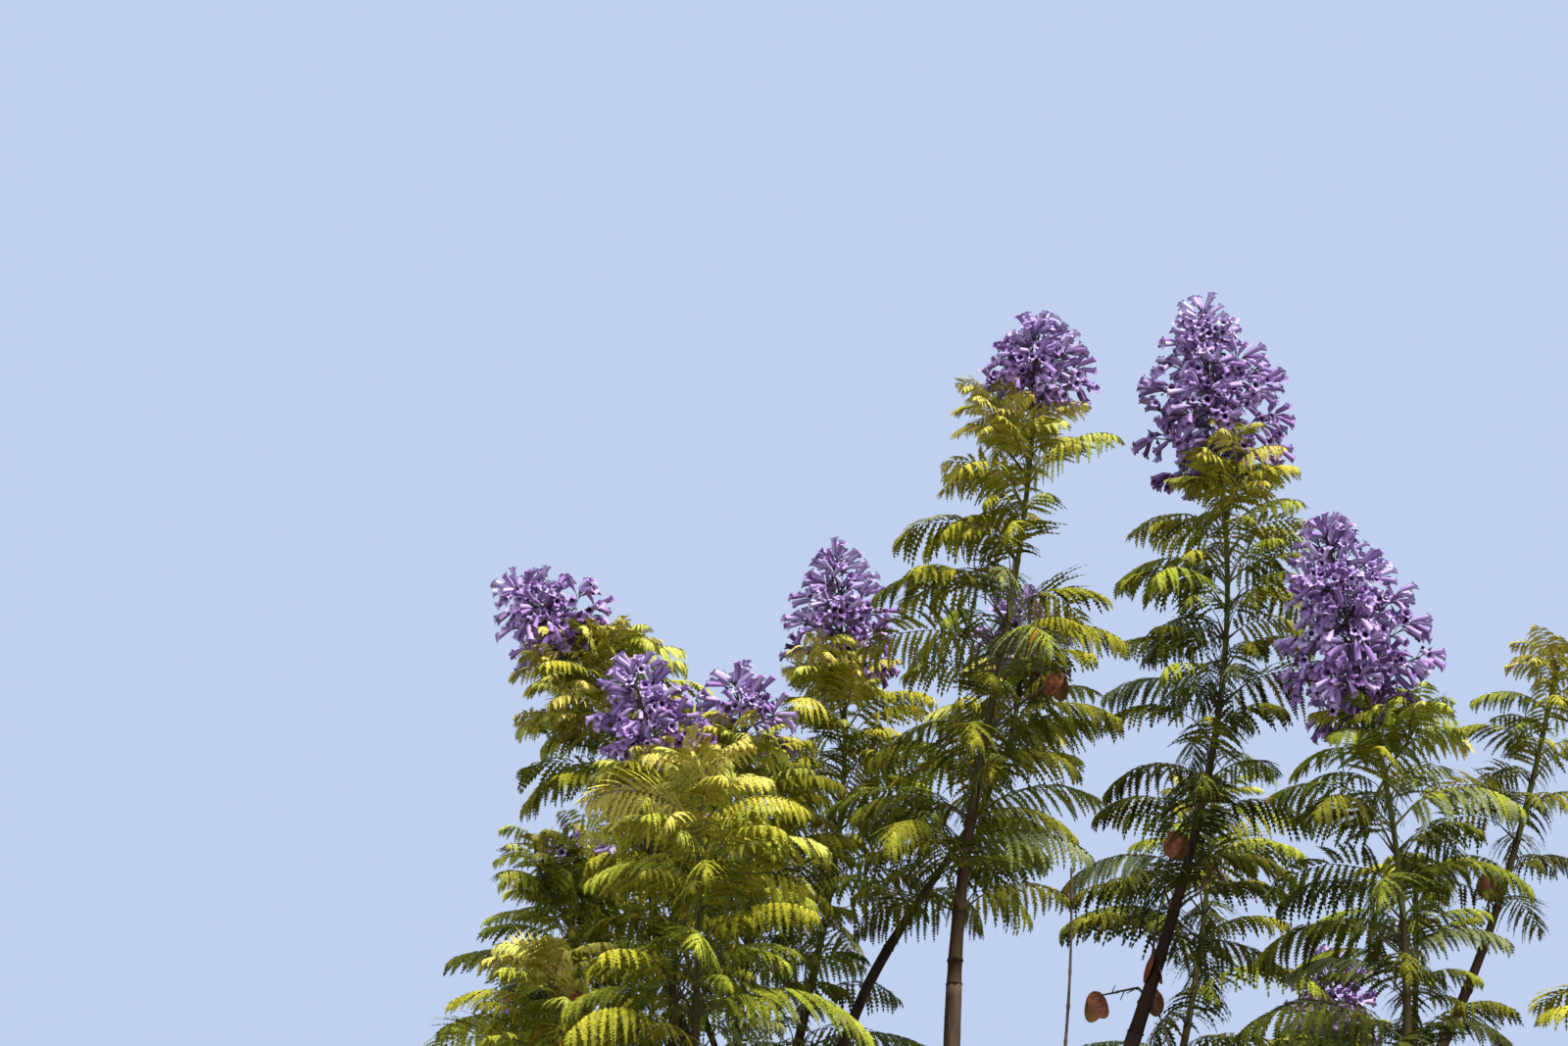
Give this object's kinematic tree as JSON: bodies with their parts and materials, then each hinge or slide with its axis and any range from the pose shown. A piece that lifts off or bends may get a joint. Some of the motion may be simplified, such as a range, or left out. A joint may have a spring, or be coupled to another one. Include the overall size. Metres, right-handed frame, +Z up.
{
  "type": "jacaranda tree",
  "caption": "Young jacaranda tree in blossom: a flared trunk, tapering boughs and upright feathery shoots tipped with panicles, set on a flat cut at ground level.",
  "frame": {"origin": "centre of the flat cut under the trunk, at ground level", "axes": "+Z up along the trunk; -Y faces the side that the picture shows, with +X to its right"},
  "size_m": [2.9315, 2.2607, 5.0786],
  "materials": {
    "bark": "rough, finely furrowed",
    "dead_wood": "rough and dry",
    "foliage": "soft, slightly glossy leaflets"
  },
  "bodies": {
    "root": {"trunk": "bark", "bough_right_tall": "bark", "bough_middle_tall": "bark", "bough_right_front": "bark", "bough_left_middle": "bark", "bough_left_back": "bark", "bough_right_leggy": "bark", "bough_left_tip": "bark", "bough_left_front": "bark", "bough_left_low": "bark", "bough_front_leafy": "bark", "bough_left_skirt": "bark", "bough_middle_leaning": "bark", "bough_right_inner": "bark", "bough_right_low": "bark", "bough_back_tall": "bark", "bough_back_left": "bark", "bough_back_left_tip": "bark", "bough_skirt_left": "bark", "bough_skirt_back_left": "bark", "bough_skirt_back": "bark", "bough_skirt_back_right": "bark", "bough_back_right": "bark", "bough_right_tip": "bark", "bough_right_skirt": "bark", "bough_skirt_right": "bark", "bough_skirt_front_right": "bark", "bough_skirt_front": "bark", "bough_skirt_front_left": "bark", "dead_shoot": "dead_wood", "foliage_right_tall": "foliage", "foliage_middle_tall": "foliage", "foliage_right_front": "foliage", "foliage_left_middle": "foliage", "foliage_left_back": "foliage", "foliage_right_leggy": "foliage", "foliage_left_tip": "foliage", "foliage_left_front": "foliage", "foliage_left_low": "foliage", "foliage_front_leafy": "foliage", "foliage_left_skirt": "foliage", "foliage_middle_leaning": "foliage", "foliage_right_inner": "foliage", "foliage_right_low": "foliage", "foliage_back_tall": "foliage", "foliage_back_left": "foliage", "foliage_back_left_tip": "foliage", "foliage_skirt_left": "foliage", "foliage_skirt_back_left": "foliage", "foliage_skirt_back": "foliage", "foliage_skirt_back_right": "foliage", "foliage_back_right": "foliage", "foliage_right_tip": "foliage", "foliage_right_skirt": "foliage", "foliage_skirt_right": "foliage", "foliage_skirt_front_right": "foliage", "foliage_skirt_front": "foliage", "foliage_skirt_front_left": "foliage"}
  },
  "joints": []
}
